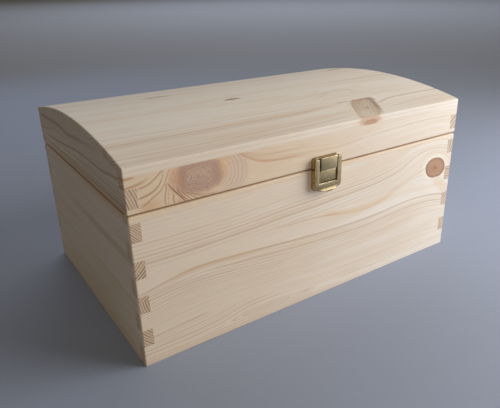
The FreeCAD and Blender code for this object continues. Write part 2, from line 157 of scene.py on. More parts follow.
def smooth_step(n, value, start, stop):
    """0 before start and 1 after stop; the other way round if stop is the lower."""
    rising = start < stop
    low, high = (start, stop) if rising else (stop, start)
    return n("MapRange", value, low, high, 0.0 if rising else 1.0, 1.0 if rising else 0.0,
             interpolation_type="SMOOTHSTEP")


def mottle(n, u, v, w, cell, detail=2.0):
    """Cloudy noise from 0 to 1 with patches of this length, breadth and depth in mm."""
    spot = n("CombineXYZ", n("/", u, cell[0]), n("/", v, cell[1]), n("/", w, cell[2]))
    return n("TexNoise", {"Vector": spot, "Scale": 1.0, "Detail": detail})


def board_spot(n, board):
    """Sockets u, v and w, and how squarely the surface faces along the grain."""
    sources = n("TexCoord").node.outputs
    spot = n("SeparateXYZ", n("VectorMath", {"Vector": sources["Object"], "Scale": 1 / MM},
                              operation="SCALE")).node
    facing = n("SeparateXYZ", sources["Normal"]).node
    sockets = [n("+", n("*", spot.outputs[axis], sign), origin) for axis, sign, origin in board["axes"]]
    end = n("abs", facing.outputs[board["axes"][0][0]])
    return (*sockets, end)


REACH = 30.0           # most mm that a line can rise or fall from its own level


def sweep(n, u, points, board_length):
    """How far the grain rises and falls along the board: a smooth curve through the points."""
    output = n("FloatCurve", 1.0, n("/", u, board_length))
    mapping = output.node.mapping
    curve = mapping.curves[0]
    while len(curve.points) < len(points):
        curve.points.new(0.5, 0.5)
    for point, (along, rise) in zip(curve.points, points):
        point.location = (along / board_length, 0.5 + rise / (2 * REACH))
    mapping.update()
    return n("*", n("-", output, 0.5), 2 * REACH)


def spot_distance(n, u, v, spot):
    """1 on the outline of a spot on the board's face and less inside it."""
    rise = n("-", v, spot["at"][1])
    run = n("-", n("-", u, spot["at"][0]), n("*", rise, spot.get("lean", 0.0)))
    power = spot.get("square", 2.0)
    sides = [n("^", n("abs", n("/", side, half)), power) for side, half in zip((run, rise), spot["half"])]
    return n("^", n("+", *sides), 1 / power)


def inside(n, distance, spot):
    """1 within a spot and 0 outside it, with the spot's own softness."""
    return smooth_step(n, distance, 1 + spot["soft"], 1 - spot["soft"])


def clipped(n, mask, v, spot):
    """Cut a mask off at the glue joints that cut off its spot."""
    low, high = spot.get("between", (None, None))
    if low is not None:
        mask = n("*", mask, n(">", v, low))
    if high is not None:
        mask = n("*", mask, n("<", v, high))
    return mask


FAR_IN = 500.0         # mm added to keep a pith's place above 0
STAVE_SEED = 61.0      # how far apart the noise of two staves lies
BOARD_SEED = 17.0      # and that of two boards
SEED_SHIFT = 100.0     # mm along the grain for each step of the seed
RIM_REACH = 1.4        # mm either side of the seam that is darkened as painted shade
RIM_DEPTHS = (4.0, 1.0)    # mm into the seam, from unshaded to fully darkened by painted shade

# Length, breadth and depth in mm of the patches in each pattern of the wood. Single fibres and
# pores are about 0.03 and 0.2 mm wide, too fine to show, so bundles of them are drawn.
CELLS = {
    "wander": (95.0, 26.0, 26.0),
    "patchy": (45.0, 9.0, 9.0),
    "fibre": (28.0, 0.9, 0.9),
    "cloud": (140.0, 13.0, 13.0),
    "pores": (0.8, 0.8, 1.0),
    "knot": (7.0, 5.0, 1.0),
    "specks": (2.4, 1.5, 1.0),
}


def stave_values(n, v, staves):
    """The pith's v and w, the ring width, the tone and the count of the stave at v.

    Colour sockets carry them and can't hold a number below 0, so both are moved by FAR_IN.
    """
    rows = [(stave["pith"][0] + FAR_IN, stave["pith"][1] + FAR_IN, stave["ring"], stave.get("tone", 0.0))
            for stave in staves]
    chosen, tone, count = (*rows[0][:3], 1.0), rows[0][3], 0.0
    for stave, row in zip(staves[1:], rows[1:]):
        above = n(">", v, stave["from"])
        chosen = n("MixRGB", above, chosen, (*row[:3], 1.0))
        tone = n("MapRange", above, 0.0, 1.0, tone, row[3])
        count = n("+", above, count)
    split = n("SeparateXYZ", chosen).node if len(rows) > 1 else None
    pith_v, pith_w, ring = split.outputs if split else rows[0][:3]
    return n("-", pith_v, FAR_IN), n("-", pith_w, FAR_IN), ring, tone, count


def faded(n, mask, along, fades):
    """Fade a mask in or out over each (start, stop) stretch."""
    for start, stop in fades:
        mask = n("*", mask, smooth_step(n, along, start, stop))
    return mask


def draw_knot(n, face, u, v, seed, knot, distance):
    """Paint a knot: coloured shells round its pith, crossed by fine uneven rings that fade outwards.

    Each shell is a (distance, colour, strength) stop, with the outline at a distance of 1.
    """
    uneven = n("-", mottle(n, u, v, seed, CELLS["knot"], 3.0), 0.5)
    edge = n("+", distance, n("*", uneven, knot.get("ragged", 0.2)))
    shells = ramp(n, n("/", edge, 2.0), [(reach / 2, (*colour(code)[:3], strength))
                                         for reach, code, strength in knot["shells"]])
    cover = clipped(n, shells.node.outputs["Alpha"], v, knot)
    cover = faded(n, cover, u, knot.get("only", []))
    face = n("MixRGB", cover, face, shells)
    specks = smooth_step(n, mottle(n, u, v, seed, CELLS["specks"], 3.0), 0.45, 0.7)
    specks = n("*", specks, smooth_step(n, edge, 1.0, 0.8))
    face = n("MixRGB", n("*", clipped(n, specks, v, knot), knot.get("specks", 0.0)), face,
             colour(knot["ring_colour"]))
    about_pith = spot_distance(n, u, v, dict(knot, at=knot.get("pith", knot["at"])))
    about_pith = n("+", about_pith, n("*", uneven, knot.get("uneven", 0.25)))
    cycle = n("fract", n("*", about_pith, knot["rings"]))
    dark = ramp(n, cycle, [(0.0, 0.4), (0.2, 0.0), (0.55, 0.2), (0.85, 1.0), (1.0, 0.4)])
    low, high = knot.get("ring_fade", (0.9, 1.0))
    dark = n("*", dark, clipped(n, smooth_step(n, edge, high, low), v, knot))
    dark = faded(n, dark, u, knot.get("only", []))
    face = n("MixRGB", n("*", dark, knot["ring_strength"]), face, colour(knot["ring_colour"]))
    heart = n("*", smooth_step(n, about_pith, knot.get("heart", 0.12), 0.0),
              knot.get("heart_strength", 0.6))
    return n("MixRGB", heart, face, colour(knot["ring_colour"]))


def draw_stroke(n, u, v, bent, patchy, stroke):
    """One strong growth line at its own level, soft below and sharp above, from 0 to 1."""
    above = n("-", bent, stroke["level"])
    line = n("*", smooth_step(n, above, -stroke["wide"], 0.0),
             smooth_step(n, above, 0.3 * stroke["wide"], 0.0))
    line = faded(n, faded(n, line, u, stroke.get("only", [])), v, stroke.get("across", []))
    return n("*", line, n("MapRange", patchy, 0.3, 0.7, 0.6 * stroke["strength"], stroke["strength"]))


def draw_streak(n, face, u, v, board, streak):
    """Paint a resin streak along a line on the board, softer on one side than on the other.

    The line is (u, v) points, or (v, u) points for an upright streak.
    """
    along, across = (v, u) if streak.get("upright") else (u, v)
    middle = sum(rise for spot, rise in streak["line"]) / len(streak["line"])
    line = [(spot, rise - middle) for spot, rise in streak["line"]]
    above = n("-", across, n("+", sweep(n, along, line, board["length"]), middle))
    shape = n("*", smooth_step(n, above, -streak["below"], 0.0),
              smooth_step(n, above, streak["above"], 0.0))
    shape = clipped(n, faded(n, shape, along, streak["only"]), v, streak)
    return n("MixRGB", n("*", shape, streak["strength"]), face, colour(streak["colour"]))


def draw_mark(n, face, u, v, w, mark):
    """Paint a stain or a pitch pocket, on the board's face or, with edge set, on its long edge."""
    distance = spot_distance(n, u, w if mark.get("edge") else v, mark)
    shape = clipped(n, inside(n, distance, mark), v, mark)
    return n("MixRGB", n("*", shape, mark["strength"]), face, colour(mark["colour"]))


def pine(name, board, wood):
    """Raw sanded pine: wide cream earlywood, thin tan latewood lines and a dry, dull surface."""
    material, n = new_material(name)
    u, v, w, end = board_spot(n, board)
    pith_v, pith_w, ring, tone, count = stave_values(n, v, board["staves"])
    seed = n("+", n("*", count, STAVE_SEED), board["seed"] * BOARD_SEED)
    drawn_u = n("+", u, n("*", seed, SEED_SHIFT))

    # the grain wanders, sweeps and flows round the knots
    wander = n("-", mottle(n, drawn_u, v, w, CELLS["wander"]), 0.5)
    bent = n("+", v, n("*", wander, board.get("wander", 7.0)))
    for bend in board.get("sweeps", []):
        rise = sweep(n, u, bend["points"], board["length"])
        for start, stop in bend.get("only", []):
            rise = n("*", rise, smooth_step(n, v, start, stop))
        bent = n("-", bent, rise)
    bulge = 0.0
    knots = []
    for knot in board.get("knots", []):
        distance = spot_distance(n, u, v, knot)
        near = n("exp", n("*", n("^", n("/", distance, knot.get("spread", 1.6)), 2.0), -1.0))
        near = clipped(n, near, v, knot)
        squeeze = n("*", near, knot.get("squeeze", 0.85))
        bent = n("-", bent, n("*", n("-", v, knot["at"][1]), squeeze))
        bulge = n("+", n("*", near, knot.get("bulge", 0.0)), bulge)
        knots.append((knot, distance))

    # growth rings, some strong and some faint
    across = n("-", bent, pith_v)
    inward = n("-", w, pith_w)
    radius = n("sqrt", n("+", n("*", across, across), n("*", inward, inward)))
    turns = n("/", n("+", radius, bulge), ring)
    strength = n("TexWhiteNoise", {"W": n("+", n("floor", turns), seed)}, noise_dimensions="1D")
    late = ramp(n, n("fract", turns), [(0.0, 0.3), (0.06, 0.0), (0.6, 0.05), (0.82, 0.45), (0.93, 1.0),
                                       (1.0, 0.3)], "EASE")
    late = n("*", late, n("+", n("*", strength, 0.7), 0.3))
    late = n("*", late, board.get("contrast", 1.0))
    for spot in board.get("calm", []):
        near = inside(n, spot_distance(n, u, v, spot), spot)
        late = n("*", late, n("MapRange", near, 0.0, 1.0, 1.0, spot["share"]))
    patchy = mottle(n, drawn_u, v, w, CELLS["patchy"])
    for stroke in board.get("strokes", []):
        late = n("max", late, draw_stroke(n, u, v, bent, patchy, stroke))

    # fibres, slow clouds of tone, and painted shade towards the board's left end
    fibre = mottle(n, drawn_u, bent, w, CELLS["fibre"], 3.0)
    cloud = n("+", mottle(n, drawn_u, bent, w, CELLS["cloud"]), tone)
    # painted shade: the warm, darker tone grows towards the board's start at the left end, where less
    # light falls
    cloud = n("+", cloud, n("MapRange", u, 0.0, board["length"], board.get("fade", 0.0), 0.0))
    face = n("MixRGB", smooth_step(n, cloud, 0.35, 0.9), tuple(wood.early), tuple(wood.warm))
    face = n("MixRGB", n("*", late, wood.line_strength), face, tuple(wood.late))
    for mark in board.get("tints", []):
        face = draw_mark(n, face, u, v, w, mark)
    for knot, distance in knots:
        if "shells" in knot:
            face = draw_knot(n, face, u, v, seed, knot, distance)
    for mark in board.get("marks", []):
        face = draw_mark(n, face, u, v, w, mark)
    for streak in board.get("streaks", []):
        face = draw_streak(n, face, u, v, board, streak)
    # painted shade: the wood along the seam and just inside it is darkened brown, standing in for the
    # seam's shadow
    if "rim" in board:
        from_seam = n("/", n("abs", n("-", v, board["rim"])), RIM_REACH)
        seam_shade = n("*", inside(n, from_seam, {"soft": 0.5}), smooth_step(n, w, *RIM_DEPTHS))
        face = n("MixRGB", n("*", seam_shade, board.get("rim_strength", 0.4)), face, tuple(wood.seam_shade))

    # end grain drinks in light: darker and browner, with hard rings and open pores
    pores = mottle(n, v, w, seed, CELLS["pores"])
    rings = ramp(n, n("fract", turns), [(0.0, 0.15), (0.45, 0.05), (0.68, 0.9), (0.9, 1.0), (1.0, 0.15)])
    rings = n("*", rings, n("+", n("*", strength, 0.5), 0.5))
    sawn = n("MixRGB", n("*", rings, 0.8), tuple(wood.end_early), tuple(wood.end_late))
    sawn = n("MixRGB", n("*", pores, 0.24), sawn, tuple(wood.end_late))
    skin = n("MixRGB", n("*", smooth_step(n, end, 0.5, 0.9), board.get("end", 1.0)), face, sawn)
    shade = n("MapRange", fibre, 0.25, 0.75, 1 - wood.fibre_strength, 1 + wood.fibre_strength)
    skin = n("VectorMath", {0: skin, "Scale": shade}, operation="SCALE")

    height = n("+", n("*", late, 0.5), n("*", fibre, 0.5))
    normal = n("Bump", {"Height": height, "Distance": wood.relief, "Strength": 0.6})
    rough = n("MapRange", fibre, 0.2, 0.8, wood.roughness - 0.06, wood.roughness + 0.06)
    shader = n("BsdfPrincipled", {"Base Color": skin, "Roughness": rough, "Normal": normal})
    n("OutputMaterial", shader)
    return material


class WoodSettings(bpy.types.PropertyGroup):
    """Colours and grain of the pine"""
    early: colour_property("Earlywood", "Pale wood between the lines", "#ebe1d4")
    warm: colour_property("Warm earlywood", "Deeper patches of the pale wood", "#e3d1bb")
    late: colour_property("Latewood", "Thin darker growth lines", "#bb9a70")
    # painted shade: this brown darkens the wood along and inside the seam, standing in for the seam's
    # shadow
    seam_shade: colour_property("Handled edge", "Wood along the seam, browned by fingers", "#b07a45")
    end_early: colour_property("End grain", "Pale wood cut across", "#e2c6a8")
    end_late: colour_property("End grain lines", "Growth lines cut across", "#573013")
    line_strength: share_property("Line strength", "How dark the growth lines are", 0.7)
    fibre_strength: share_property("Fibre strength", "How streaky the fibres are", 0.05)
    roughness: share_property("Roughness", "Dullness of the sanded surface", 0.62)
    relief: length_property("Relief", "Height of the latewood over the earlywood", 0.12)


# Where each board lies, as (axis, sign, origin) for u, v and w.
half_width = (cad_high[0] - cad_low[0]) / MM / 2
height = (cad_high[2] - cad_low[2]) / MM
front_face = -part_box("body_front")[0].y / MM
back_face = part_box("body_back")[1].y / MM
FRONT_AXES = (("X", 1, half_width), ("Z", 1, 0), ("Y", 1, front_face))
BACK_AXES = (("X", 1, half_width), ("Z", 1, 0), ("Y", -1, back_face))
LEFT_AXES = (("Y", 1, front_face), ("Z", 1, 0), ("X", 1, half_width))
RIGHT_AXES = (("Y", 1, front_face), ("Z", 1, 0), ("X", -1, half_width))
SEAM = (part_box("body_front")[1].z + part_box("lid_front_rail")[0].z) / 2 / MM
TOP_AXES = (("X", 1, half_width), ("Y", 1, front_face), ("Z", -1, height))
BOTTOM_AXES = (("X", 1, half_width), ("Y", 1, front_face), ("Z", 1, 0))


GLUE_JOINT = 94.0                   # between the two staves of the body's front
BELOW_JOINT = (GLUE_JOINT + 0.1, GLUE_JOINT - 0.1)
ABOVE_JOINT = (GLUE_JOINT - 0.1, GLUE_JOINT + 0.1)
RAIL_FOOT, RAIL_TOP = 145.0, 178.0  # just past the lid's front rail, below and above
RAIL = (RAIL_FOOT, RAIL_TOP)


def low_stroke(level, wide, strength, *only):
    """A growth line of the body's lower stave, cut off by the glue joint and faded over each stretch."""
    return {"level": level, "wide": wide, "strength": strength, "across": [BELOW_JOINT],
            "only": list(only)}


def stain(at, half, soft, strength, code, **more):
    """A soft-edged oval patch of another colour: a stain, a bruise or a pitch pocket."""
    return dict(at=at, half=half, soft=soft, strength=strength, colour=code, **more)


def fan_lines():
    """Growth lines that crowd round the left tip of the lid's big knot and part again below it."""
    level = [
        ([(0, 176), (8, 176.5), (14, 177.5)], 2.2, 1.0, [(12, 6)], 0.7, "#b98652"),
        ([(0, 168.5), (11, 170.2), (18, 172.5), (26, 176.5)], 2.4, 0.8, [(24, 12)], 0.7, "#bb8c5c"),
        ([(0, 163.5), (10, 165.7), (18, 167.5), (26, 172), (31, 176)], 1.5, 0.8, [(8, 14)], 0.6,
         "#ab7748"),
        ([(10, 157.7), (20, 160), (27, 164), (31, 169), (33, 175)], 1.5, 0.8, [(8, 14)], 0.7, "#a3703f"),
        ([(10, 150), (14, 151.2), (23, 156.5), (29.5, 160.5), (33.5, 166)], 1.5, 0.8, [(10, 16)], 0.6,
         "#ab7748"),
        ([(36, 165), (38, 162), (41, 157.7), (48, 149.6), (51, 145)], 1.3, 0.9, [(35, 37.5)], 0.95,
         "#7d4b2b"),
        ([(42, 160), (44.6, 156), (49, 150.5), (53.6, 145.6)], 1.0, 0.8, [(42.5, 45)], 0.8, "#96663f"),
        ([(46, 157), (48.2, 154.6), (52.5, 150), (57, 145.6)], 1.0, 0.7, [(46, 48.5)], 0.75, "#9c6d45"),
        ([(49, 156), (52, 153.4), (57, 149.3), (62.5, 145.6)], 1.0, 0.7, [(49, 52)], 0.6, "#a2754e"),
        ([(53, 154), (57, 151.6), (62, 148.8), (69, 146.2)], 1.0, 0.7, [(53, 57)], 0.5, "#a2754e"),
        ([(58, 151.8), (64, 149.4), (72, 147.6), (82, 147.4)], 1.0, 0.7, [(58, 62), (86, 76)], 0.4,
         "#a67c56"),
        ([(100, 177.5), (105, 175.5), (112, 171.5), (118, 168.2), (125, 165.5), (140, 163), (158, 162)],
         1.0, 3.0, [(98, 106), (190, 150)], 0.65, "#c69a70"),
        ([(106, 178), (112, 175), (120, 171.8), (132, 170), (150, 169.4)], 0.8, 1.8,
         [(104, 112), (180, 145)], 0.5, "#c9a27c"),
    ]
    upright = [
        ([(145.5, 34.8), (150.5, 32.7), (156.8, 33.4), (163, 34.6), (167, 33)], 1.1, 1.1,
         [(167, 164)], 0.6, "#b5835f"),
        ([(145.5, 35.5), (155, 35.8), (162, 37)], 0.8, 0.8, [(162, 158)], 0.35, "#b5835f"),
        ([(145.5, 42.4), (150.5, 40.2), (155.9, 40.4)], 1.2, 1.0, [(157, 153)], 0.65, "#b07a56"),
    ]
    return [dict(between=RAIL, line=line, below=1.25 * below, above=1.2 * above, only=only,
                 strength=min(1.0, 1.1 * strength), colour=code, upright=lines is upright)
            for lines in (level, upright) for line, below, above, only, strength, code in lines]


FRONT_BOARD = {
    # painted shade: the front grows warmer and darker towards its left end
    "axes": FRONT_AXES, "rim": SEAM, "length": 400.0, "seed": 1, "wander": 3.0, "end": 0.35, "fade": 0.6,
    "contrast": 1.25,
    "staves": [
        {"from": 0, "pith": (-40.0, -60.0), "ring": 1.9, "tone": -0.06},
        {"from": GLUE_JOINT, "pith": (235.0, -50.0), "ring": 3.5, "tone": 0.0},
        {"from": 145.2, "pith": (60.0, -40.0), "ring": 3.2, "tone": 0.1},
    ],
    "sweeps": [
        {"points": [(0, -10.5), (15, -7.3), (32, -3.7), (50, -0.8), (65, -0.3), (105, -2.6), (140, -5.2),
                    (175, -7.6), (212, -9.6), (250, -10.4), (287, -8.9), (320, -7.0), (350, -7.5),
                    (375, -9.5), (400, -16)],
         "only": [BELOW_JOINT, (5, 60)]},
        {"points": [(0, 6.5), (15, 4.5), (32, 2.4), (50, 0.6), (80, 0), (400, 0)],
         "only": [(74, 70.5), (40, 66)]},
        {"points": [(0, 0), (50, 0), (80, 2.5), (97, 6.5), (110, 8.5), (140, 8.5), (175, 5), (220, 3),
                    (400, 0)],
         "only": [(8, 12), (38, 28)]},
        {"points": [(0, -1), (100, 0), (150, 2.5), (225, 5), (275, 9), (312, 16), (338, 24), (355, 26),
                    (375, 24), (400, 16)],
         "only": [ABOVE_JOINT, (175, 125)]},
        {"points": [(0, -13), (18, -6), (32, 3), (37, 5), (44, -3), (60, -10), (80, -8), (95, -4),
                    (120, -10), (150, -14), (183, -17), (215, -19), (250, -16), (300, -13), (340, -12),
                    (400, -15)],
         "only": [(146, 152)]},
    ],
    "calm": [
        {"at": (420.0, 30.0), "half": (230.0, 75.0), "soft": 0.5, "share": 0.8},
        {"at": (200.0, 84.0), "half": (260.0, 10.5), "soft": 0.1, "share": 0.12, "square": 6.0},
        {"at": (200.0, 50.0), "half": (260.0, 12.0), "soft": 0.6, "share": 0.85, "square": 4.0},
        {"at": (100.0, 18.0), "half": (130.0, 18.0), "soft": 0.3, "share": 0.4, "square": 4.0},
        {"at": (150.0, 132.0), "half": (200.0, 13.0), "soft": 0.5, "share": 0.35, "square": 4.0},
        {"at": (10.0, 162.0), "half": (26.0, 17.0), "soft": 0.2, "share": 0.35, "square": 4.0},
        {"at": (124.0, 156.0), "half": (38.0, 16.0), "soft": 0.3, "share": 0.1},
        {"at": (290.0, 162.0), "half": (150.0, 16.5), "soft": 0.15, "share": 0.35, "square": 6.0},
    ],
    "strokes": [low_stroke(*row) for row in (
        (82.8, 2.8, 1.0), (82.6, 7.0, 0.4, (20, 50), (150, 80)), (75.2, 1.5, 0.9), (71.6, 1.3, 0.75),
        (68.4, 1.2, 0.85), (65.4, 1.3, 0.75, (340, 250)), (62.6, 1.1, 0.6, (220, 120)),
        (31.5, 3.2, 0.8, (75, 50)), (27.6, 1.2, 0.5, (100, 70)), (23.6, 1.5, 0.8, (130, 100)),
        (20.2, 1.2, 0.5, (130, 90)), (17.2, 1.8, 1.0, (150, 110)), (12.7, 1.6, 1.0, (180, 120)),
        (7.4, 1.5, 1.0, (240, 140)), (4.8, 1.4, 1.0, (240, 140)), (2.2, 1.4, 0.9, (240, 140)),
    )] + [
        {"level": 102.5, "wide": 2.0, "strength": 0.9, "across": [ABOVE_JOINT, (146, 145)]},
        {"level": 180.0, "wide": 2.2, "strength": 0.6, "across": [(145, 146)], "only": [(100, 125)]},
    ],
    "tints": [
        stain((50.0, 162.0), (150.0, 30.0), 0.6, 0.45, "#dcb98e", between=RAIL),
        stain((95.0, 144.0), (500.0, 5.0), 0.5, 0.25, "#e3c08f", between=(None, RAIL_FOOT)),
    ],
    "knots": [
        {"at": (64.0, 165.0), "half": (24.0, 14.5), "pith": (63.4, 164.8), "between": RAIL,
         "square": 2.3,
         "shells": [(0.0, "#d3b29a", 1.0), (0.3, "#d0ae96", 1.0), (0.62, "#c9a78f", 1.0),
                    (0.8, "#c7a48d", 1.0), (0.98, "#d1ad90", 0.95), (1.12, "#dfbf9b", 0.7),
                    (1.4, "#e6cba8", 0.0)],
         "rings": 10.0, "ring_colour": "#7f5a46", "ring_strength": 0.44, "ring_fade": (0.9, 1.3),
         "specks": 0.3, "spread": 1.6, "squeeze": 0.7, "bulge": 11.0, "heart": 0.06},
        {"at": (60.0, 163.0), "half": (53.0, 27.0), "between": RAIL, "square": 2.5,
         "shells": [(0.0, "#dcc3aa", 0.0), (0.52, "#dcc3aa", 0.0), (0.62, "#dfc4ab", 0.9),
                    (0.8, "#dabfa9", 0.8), (0.94, "#dbc1aa", 0.7), (1.05, "#dcc3aa", 0.0)],
         "rings": 13.5, "ring_colour": "#a5816a", "ring_strength": 0.32, "ring_fade": (0.9, 1.06),
         "ragged": 0.08, "uneven": 0.08, "only": [(80, 92)], "squeeze": 0.0, "heart_strength": 0.0},
        {"at": (371.8, 107.0), "half": (17.0, 12.5), "pith": (366.5, 107.5), "between": (95.0, None),
         "lean": -0.22, "square": 2.1,
         "shells": [(0.0, "#95623f", 1.0), (0.2, "#b88e70", 1.0), (0.7, "#bb9476", 1.0),
                    (0.9, "#aa8062", 1.0), (0.98, "#9c7150", 1.0), (1.03, "#efe3d0", 0.9),
                    (1.15, "#f0e6d4", 0.7), (1.5, "#efe3cd", 0.0)],
         "rings": 5.0, "ring_colour": "#80543a", "ring_strength": 0.3, "ring_fade": (0.95, 1.0),
         "specks": 0.15, "ragged": 0.1, "spread": 1.7, "squeeze": 0.9},
    ],
    "marks": [stain(*row, between=(None, RAIL_TOP)) for row in (
        ((43.5, 168.5), (5.5, 8.5), 0.6, 0.5, "#d9a984"),
        ((49.0, 166.5), (3.5, 9.0), 0.7, 0.45, "#a97c63"),
        ((88.5, 170.5), (6.0, 9.0), 0.5, 0.5, "#dfb385"),
        ((81.0, 165.0), (4.5, 10.0), 0.6, 0.35, "#a98773"),
    )] + [
        stain((62.0, 160.0), (9.0, 5.0), 0.7, 0.3, "#a5836c"),
        stain((19.0, 149.5), (8.0, 4.2), 0.9, 0.5, "#cf9f6e", between=(RAIL_FOOT, None)),
        stain((47.5, 148.0), (4.5, 3.2), 0.6, 0.5, "#cf9877", between=(RAIL_FOOT, None)),
        stain((384.0, 84.0), (9.0, 13.0), 0.4, 0.4, "#dfc09b", lean=-0.9, between=(None, GLUE_JOINT)),
    ],
    "streaks": [
        {"line": [(190, 92), (200, 91.5), (225, 87), (250, 84), (275, 85), (295, 89.5), (312, 97),
                  (325, 105), (340, 113), (355, 121)], "below": 2.0, "above": 7.5,
         "only": [(185, 215), (325, 285)], "strength": 0.75, "colour": "#dfc09c"},
        {"line": [(0, 73), (15, 75.5), (32, 78.7), (50, 81.6), (65, 82.1), (105, 80), (140, 77.4),
                  (400, 70)],
         "below": 6.0, "above": 0.6, "only": [(12, 48), (170, 85)], "strength": 0.42,
         "colour": "#d3a87b"},
        {"line": [(0, 95), (130, 94.2), (160, 93.8), (190, 92.6), (215, 89.5), (240, 86.5), (400, 86)],
         "below": 1.4, "above": 1.2, "only": [(135, 160), (238, 205)], "strength": 0.45,
         "colour": "#c39a6c"},
        *fan_lines(),
    ],
}


def end_staves(*table):
    """Staves of an end board, from rows of where each starts, its pith, ring width and tone."""
    return [{"from": start, "pith": pith, "ring": ring, "tone": tone}
            for start, pith, ring, tone in table]


LEFT_BOARD = {
    # the left end's seam takes a stronger painted shade
    "axes": LEFT_AXES, "rim": SEAM, "rim_strength": 0.85, "contrast": 0.7, "length": 260.0,
    "seed": 3, "wander": 2.0,
    "staves": end_staves((0, (60.0, 40.0), 2.5, 0.1), (28, (69.0, 41.0), 2.2, 0.03),
                         (66.5, (126.0, -25.0), 2.5, -0.03), (105, (100.0, -25.0), 1.9, 0.0),
                         (143.5, (143.0, -40.0), 2.3, 0.05), (182, (150.0, 20.0), 1.8, 0.02)),
    "streaks": [
        {"line": [(0, 189), (30, 188.5), (53, 187), (71, 184.8), (94, 183), (121, 181.5), (146, 179.5),
                  (160, 181), (192, 182), (226, 180.3), (260, 181.5)], "below": 4.4, "above": 3.0,
         "only": [(40, 130)], "strength": 0.42, "colour": "#8f6840"},
        {"line": [(0, 174), (12, 173.5), (28, 172.2), (46, 170), (72, 169.6), (108, 169.4), (135, 167.8),
                  (160, 165.2), (181, 163.4), (210, 161.5), (260, 159)], "below": 3.2, "above": 2.0,
         "only": [(250, 190)], "strength": 0.45, "colour": "#8f6840"},
        {"line": [(180, 177), (199, 174), (214, 170.5), (247, 165), (260, 164)], "below": 1.6,
         "above": 1.0, "only": [(185, 215)], "strength": 0.4, "colour": "#96724f"},
    ] + [
        {"line": [(0, level + 1.0), (40, level), (100, level), (160, level - 1.5), (260, level - 2.5)],
         "below": 1.1, "above": 0.7, "only": [(stop, stop - 60)], "strength": strength,
         "colour": "#8f6b48"}
        for level, strength, stop in ((148.0, 0.45, 240), (150.6, 0.6, 250), (153.2, 0.4, 170),
                                      (155.8, 0.65, 250), (158.8, 0.45, 150), (161.8, 0.6, 190),
                                      (164.8, 0.35, 140))
    ],
    "marks": [
        stain((60.0, 104.0), (110.0, 4.0), 0.7, 0.4, "#b8946c"),
        stain((110.0, 190.0), (170.0, 22.0), 0.6, 0.3, "#c3aea6"),
        stain((60.0, 146.0), (150.0, 8.0), 0.7, 0.3, "#cf9f68"),
    ],
}
RIGHT_BOARD = {
    "axes": RIGHT_AXES, "rim": SEAM, "length": 260.0, "seed": 4, "wander": 2.0, "end": 0.8,
    "staves": end_staves((0, (60.0, -40.0), 1.2, 0.05), (40, (30.0, -27.0), 3.9, 0.0),
                         (79, (60.0, 12.0), 3.0, 0.0), (112, (147.0, -31.0), 2.8, -0.03),
                         (143.5, (123.0, -30.0), 4.9, 0.0), (182, (150.0, 20.0), 1.8, 0.02)),
}
BACK_BOARD = {
    "axes": BACK_AXES, "rim": SEAM, "length": 400.0, "seed": 5, "wander": 10.0, "end": 0.35,
    "staves": [
        {"from": 0, "pith": (40.0, -30.0), "ring": 3.4},
        {"from": 82.0, "pith": (150.0, -45.0), "ring": 2.9, "tone": 0.05},
    ],
    "knots": [
        {"at": (132.0, 46.0), "half": (11.0, 8.0),
         "shells": [(0.0, "#c39073", 1.0), (0.2, "#d0a58a", 1.0), (0.7, "#cda186", 1.0),
                    (0.98, "#b07c5c", 1.0), (1.05, "#efe3d2", 0.8), (1.5, "#efe3d0", 0.0)],
         "rings": 5.0, "ring_colour": "#8d5f45", "ring_strength": 0.3},
    ],
}


def top_board(number, start, pith, ring, **more):
    return dict({"axes": TOP_AXES, "length": 400.0, "seed": 10 + number, "wander": 4.0, "end": 0.3,
                 "contrast": 0.48, "staves": [{"from": start, "pith": pith, "ring": ring}]}, **more)


def long_line(line, strength, stop=None, below=1.0, above=0.5, code="#b08358", **more):
    """A strong growth line that runs in from the left end and fades before it stops."""
    fades = [(stop, stop - 40)] if stop else []
    return dict({"line": line, "below": below, "above": above, "only": fades, "strength": strength,
                 "colour": code}, **more)


